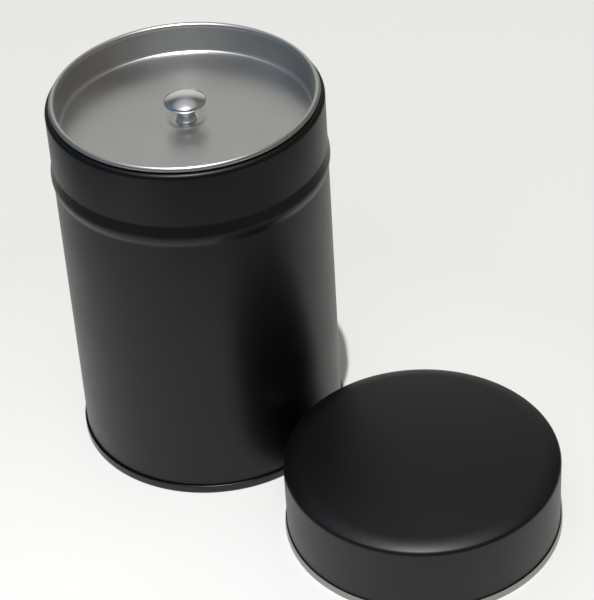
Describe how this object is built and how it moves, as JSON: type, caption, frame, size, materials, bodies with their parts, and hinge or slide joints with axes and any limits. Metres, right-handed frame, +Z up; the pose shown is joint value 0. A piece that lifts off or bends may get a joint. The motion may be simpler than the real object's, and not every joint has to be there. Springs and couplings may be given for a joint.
{
  "type": "round double-lid storage tin",
  "caption": "Round sheet-metal storage tin, matt black, with a silver plug lid lifted by a knob and a slip-on domed cap that lies beside it.",
  "frame": {"origin": "middle of the tin's foot, on the plane it stands on", "axes": "+Z up the tin's axis; the cap lies on the same plane towards +X and -Y"},
  "size_m": [0.1516, 0.1464, 0.1243],
  "materials": {
    "black_enamel": "matt black stoving enamel outside, plain tinplate inside",
    "black_gloss_enamel": "satin black lacquer on the base end",
    "satin_tinplate": "satin tinplate",
    "polished_aluminium": "turned and polished",
    "black_cap_enamel": "matt black stoving enamel outside, plain tinplate inside and on the turned hem"
  },
  "bodies": {
    "tin": {"body_wall": "black_enamel", "base_plate": "black_gloss_enamel"},
    "inner_lid": {"inner_lid_pan": "satin_tinplate", "lid_knob": "polished_aluminium"},
    "outer_lid": {"outer_lid": "black_cap_enamel"}
  },
  "joints": [
    {"name": "inner_lid_lift", "type": "slide", "parent": "tin", "child": "inner_lid", "axis": [0, 0, 1], "range_m": [0, 0.03]},
    {"name": "outer_lid_lift", "type": "slide", "parent": "tin", "child": "outer_lid", "axis": [0, 0, 1], "range_m": [0, 0.13]}
  ]
}
